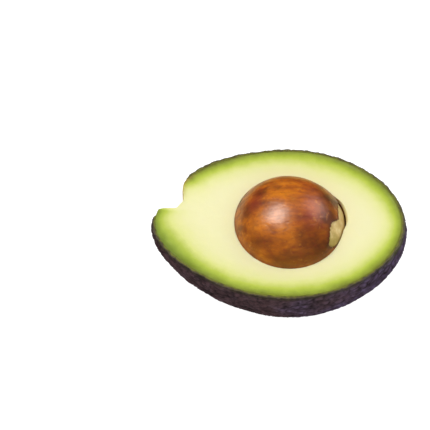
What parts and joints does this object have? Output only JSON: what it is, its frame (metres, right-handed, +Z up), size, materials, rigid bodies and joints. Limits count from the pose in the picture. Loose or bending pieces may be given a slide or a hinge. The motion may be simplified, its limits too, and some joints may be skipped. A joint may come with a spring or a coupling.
{
  "type": "halved avocado with stone",
  "caption": "Half of a ripe dark-skinned avocado, cut face up, with the brown stone still seated in its hollow.",
  "frame": {"origin": "middle of the footprint, on the surface that the half lies on", "axes": "+X along the fruit towards the blossom end, +Y towards the side with the stem's socket, +Z up out of the cut face"},
  "size_m": [0.0958, 0.0656, 0.0521],
  "materials": {
    "skin": "satin",
    "flesh": "satin",
    "seed": "satin",
    "seed_coat": "satin"
  },
  "bodies": {
    "root": {"skin": "skin", "flesh": "flesh", "seed": "seed", "seed_coat": "seed_coat"}
  },
  "joints": []
}
